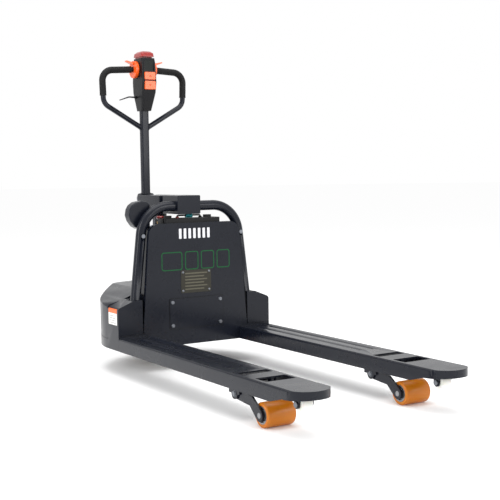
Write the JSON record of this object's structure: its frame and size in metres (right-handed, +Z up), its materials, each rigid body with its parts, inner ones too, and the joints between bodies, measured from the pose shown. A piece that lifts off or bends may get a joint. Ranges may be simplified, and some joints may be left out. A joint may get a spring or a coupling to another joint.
{
  "type": "electric pallet truck",
  "caption": "Walk-behind electric pallet truck: two lifting forks on load rollers, battery box with guard hoop, steered drive wheel, tilting tiller with loop handle.",
  "frame": {"origin": "on the floor, at the middle of the truck's plan outline, with the forks part raised", "axes": "+X towards the fork tips, +Y to the left of an operator who faces the forks, +Z up"},
  "size_m": [1.7, 0.685, 1.296],
  "materials": {
    "painted_steel": "semi-gloss charcoal powder coat",
    "bare_steel": "turned steel",
    "zinc_plated": "bright zinc plate",
    "polyurethane": "amber cast polyurethane",
    "black_plastic": "moulded, fine grain",
    "grip_rubber": "soft black rubber",
    "cover_plastic": "charcoal, slight orange peel",
    "orange_plastic": "moulded, satin gloss",
    "red_plastic": "moulded, dark red",
    "display_lens": "tinted window",
    "yellow_plastic": "moulded",
    "white_nylon": "machined nylon",
    "clear_tank": "translucent moulded tank",
    "plate_aluminium": "etched plate, no lettering"
  },
  "bodies": {
    "drive_frame": {"drive_bracket": "painted_steel", "bearing_race": "bare_steel", "lift_cylinder": "painted_steel", "pump_unit": "black_plastic", "oil_tank": "clear_tank", "guide_pads": "white_nylon"},
    "steer": {"turntable": "painted_steel", "drive_motor": "black_plastic", "gearbox": "bare_steel", "steer_column": "painted_steel", "steer_head": "painted_steel", "head_lid": "painted_steel", "tiller_pin": "zinc_plated", "gas_spring_body": "black_plastic"},
    "gas_rod": {"gas_spring_rod": "zinc_plated"},
    "drive_wheel": {"drive_hub": "bare_steel", "drive_tyre": "polyurethane", "wheel_nuts": "zinc_plated"},
    "tiller": {"tiller_shaft": "painted_steel", "handle_loop": "painted_steel", "hand_grips": "grip_rubber", "head_front": "black_plastic", "head_rear": "black_plastic", "display_window": "display_lens"},
    "throttle_grip": {"throttle": "orange_plastic"},
    "raise_key": {"raise_button": "orange_plastic"},
    "lower_key": {"lower_button": "orange_plastic"},
    "reverse_key": {"reverse_button": "red_plastic"},
    "lever": {"finger_lever": "black_plastic"},
    "lift": {"left_fork": "painted_steel", "right_fork": "painted_steel", "carriage_frame": "painted_steel", "front_panel": "painted_steel", "battery_box": "painted_steel", "battery": "black_plastic", "access_cover": "painted_steel", "rating_plate": "plate_aluminium", "panel_fasteners": "zinc_plated", "guard_hoop": "painted_steel", "body_cover": "cover_plastic", "console_plate": "painted_steel", "stop_base": "yellow_plastic", "charger_pod": "cover_plastic", "switch_housing": "painted_steel", "lift_yoke": "painted_steel", "lift_rod": "zinc_plated", "fork_pins": "zinc_plated", "hydraulic_line": "zinc_plated"},
    "stop_key": {"stop_knob": "red_plastic"},
    "rocker": {"torsion_shaft": "bare_steel"},
    "left_rod": {"left_push_rod": "bare_steel"},
    "right_rod": {"right_push_rod": "bare_steel"},
    "left_arm": {"left_load_arm": "painted_steel"},
    "right_arm": {"right_load_arm": "painted_steel"},
    "left_roller": {"left_roller_tyre": "polyurethane", "left_roller_hub": "bare_steel"},
    "right_roller": {"right_roller_tyre": "polyurethane", "right_roller_hub": "bare_steel"},
    "left_entry": {"left_entry_roller": "white_nylon"},
    "right_entry": {"right_entry_roller": "white_nylon"}
  },
  "joints": [
    {"name": "lift_slide", "type": "slide", "parent": "drive_frame", "child": "lift", "axis": [0, 0, 1], "range_m": [-0.065, 0.05]},
    {"name": "steering", "type": "hinge", "parent": "drive_frame", "child": "steer", "pos_m": [-0.68, 0, 0.236], "axis": [0, 0, 1], "range_deg": [-90, 90]},
    {"name": "drive_spin", "type": "hinge", "parent": "steer", "child": "drive_wheel", "pos_m": [-0.68, 0, 0.105], "axis": [0, 1, 0], "continuous": true},
    {"name": "tiller_tilt", "type": "hinge", "parent": "steer", "child": "tiller", "pos_m": [-0.808, 0, 0.672], "axis": [0, -1, 0], "range_deg": [0, 75], "stiffness_Nm_per_rad": 14, "springref_deg": -28.65},
    {"name": "gas_rod_slide", "type": "slide", "parent": "steer", "child": "gas_rod", "axis": [1, 0, 0], "range_m": [0, 0.026]},
    {"name": "throttle_turn", "type": "hinge", "parent": "tiller", "child": "throttle_grip", "pos_m": [-0.808, 0, 1.221], "axis": [0, 1, 0], "range_deg": [-35, 35], "stiffness_Nm_per_rad": 0.6},
    {"name": "raise_press", "type": "slide", "parent": "tiller", "child": "raise_key", "axis": [-1, 0, 0], "range_m": [0, 0.003], "stiffness_N_per_m": 600},
    {"name": "lower_press", "type": "slide", "parent": "tiller", "child": "lower_key", "axis": [-1, 0, 0], "range_m": [0, 0.003], "stiffness_N_per_m": 600},
    {"name": "reverse_press", "type": "slide", "parent": "tiller", "child": "reverse_key", "axis": [0, 0, -1], "range_m": [0, 0.005], "stiffness_N_per_m": 900},
    {"name": "lever_squeeze", "type": "hinge", "parent": "tiller", "child": "lever", "pos_m": [-0.819, -0.0285, 1.104], "axis": [-1, 0, 0], "range_deg": [0, 15], "stiffness_Nm_per_rad": 0.6},
    {"name": "stop_press", "type": "slide", "parent": "lift", "child": "stop_key", "axis": [0, 0, -1], "range_m": [0, 0.006]},
    {"name": "rocker_turn", "type": "hinge", "parent": "lift", "child": "rocker", "pos_m": [-0.415, 0, 0.154], "axis": [0, 1, 0], "range_deg": [-22, 28.5]},
    {"name": "left_rod_slide", "type": "slide", "parent": "lift", "child": "left_rod", "axis": [1, 0, 0], "range_m": [-0.017, 0.013]},
    {"name": "right_rod_slide", "type": "slide", "parent": "lift", "child": "right_rod", "axis": [1, 0, 0], "range_m": [-0.017, 0.013]},
    {"name": "left_arm_swing", "type": "hinge", "parent": "lift", "child": "left_arm", "pos_m": [0.482, 0.2705, 0.086], "axis": [0, 1, 0], "range_deg": [-28.5, 22]},
    {"name": "left_roller_spin", "type": "hinge", "parent": "left_arm", "child": "left_roller", "pos_m": [0.61634, 0.2705, 0.04], "axis": [0, 1, 0], "continuous": true},
    {"name": "left_entry_spin", "type": "hinge", "parent": "lift", "child": "left_entry", "pos_m": [0.768, 0.2705, 0.098], "axis": [0, 1, 0], "continuous": true},
    {"name": "right_arm_swing", "type": "hinge", "parent": "lift", "child": "right_arm", "pos_m": [0.482, -0.2705, 0.086], "axis": [0, 1, 0], "range_deg": [-28.5, 22]},
    {"name": "right_roller_spin", "type": "hinge", "parent": "right_arm", "child": "right_roller", "pos_m": [0.61634, -0.2705, 0.04], "axis": [0, 1, 0], "continuous": true},
    {"name": "right_entry_spin", "type": "hinge", "parent": "lift", "child": "right_entry", "pos_m": [0.768, -0.2705, 0.098], "axis": [0, 1, 0], "continuous": true}
  ],
  "couplings": [
    {"joint": "gas_rod_slide", "follows": "tiller_tilt", "m_per_rad": 0.0192},
    {"joint": "rocker_turn", "follows": "lift_slide", "rad_per_m": -7.5758},
    {"joint": "left_rod_slide", "follows": "lift_slide", "ratio": 0.25758},
    {"joint": "right_rod_slide", "follows": "lift_slide", "ratio": 0.25758},
    {"joint": "left_arm_swing", "follows": "lift_slide", "rad_per_m": 7.5758},
    {"joint": "right_arm_swing", "follows": "lift_slide", "rad_per_m": 7.5758}
  ]
}
